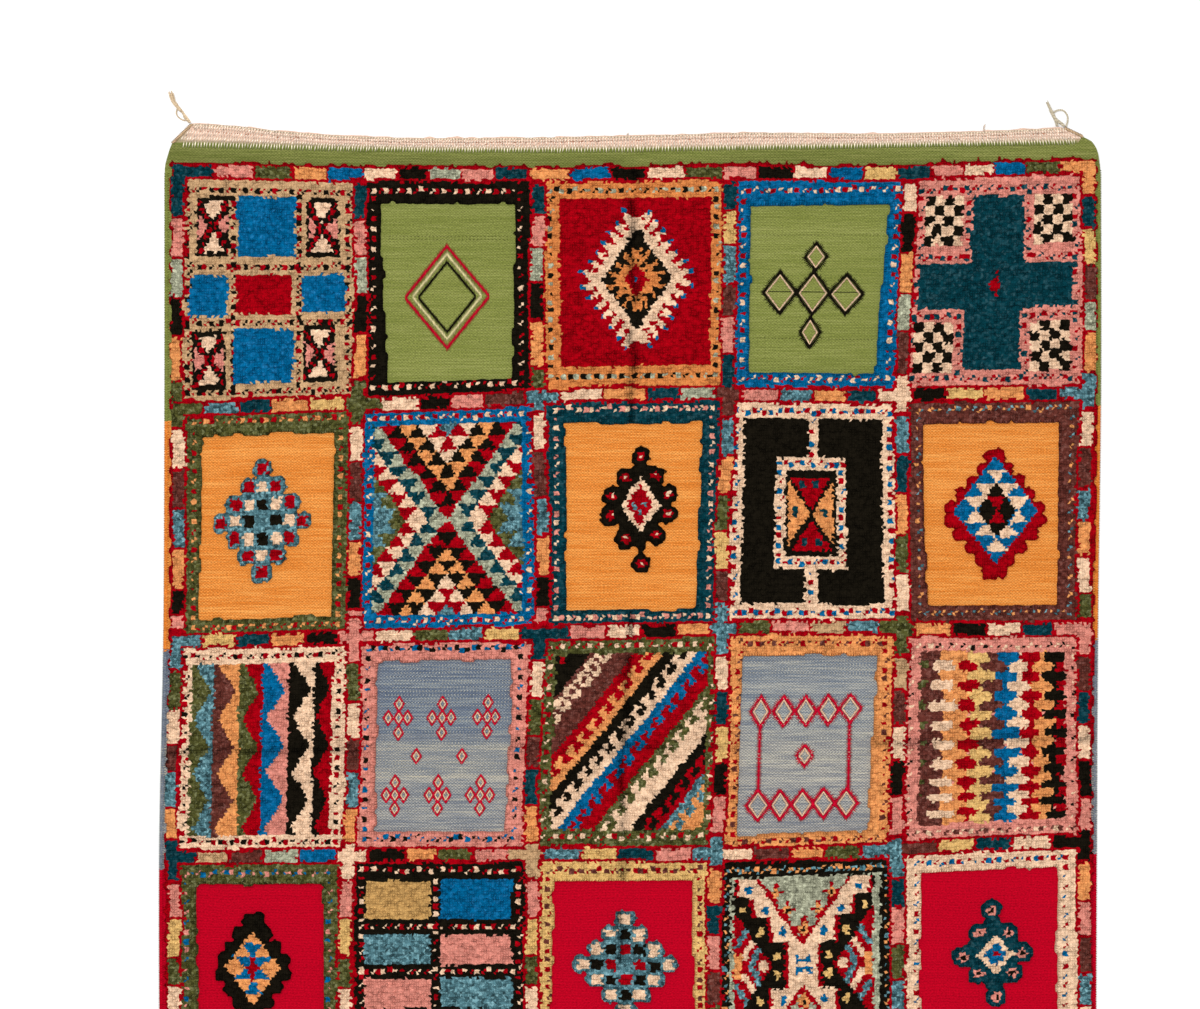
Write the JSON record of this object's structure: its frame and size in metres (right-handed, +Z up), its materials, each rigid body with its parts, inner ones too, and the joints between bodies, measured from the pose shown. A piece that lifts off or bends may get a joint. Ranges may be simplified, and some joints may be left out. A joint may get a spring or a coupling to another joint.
{
  "type": "knotted and flat-woven sampler rug",
  "caption": "Flat rectangular rug, woven in one piece: a lattice of pile strips around pile and sunken flat-woven panels, with twined end headings.",
  "frame": {"origin": "middle of the whole rug with its headings and tails, on the floor", "axes": "+Z up through the pile, +Y along the rug towards the end with the tails, +X to the right seen from above with that end away from the viewer"},
  "size_m": [1.6154, 2.9239, 0.0116],
  "materials": {
    "knotted_wool": "matt short wool pile in many colours on a flat-woven wool ground",
    "twined_heading": "matt twined undyed yarn, cream with a pink cast",
    "loose_warp": "matt twisted undyed warp yarn"
  },
  "bodies": {
    "root": {"rug": "knotted_wool", "heading_top": "twined_heading", "heading_bottom": "twined_heading", "tail_left": "loose_warp", "tail_right": "loose_warp"}
  },
  "joints": []
}
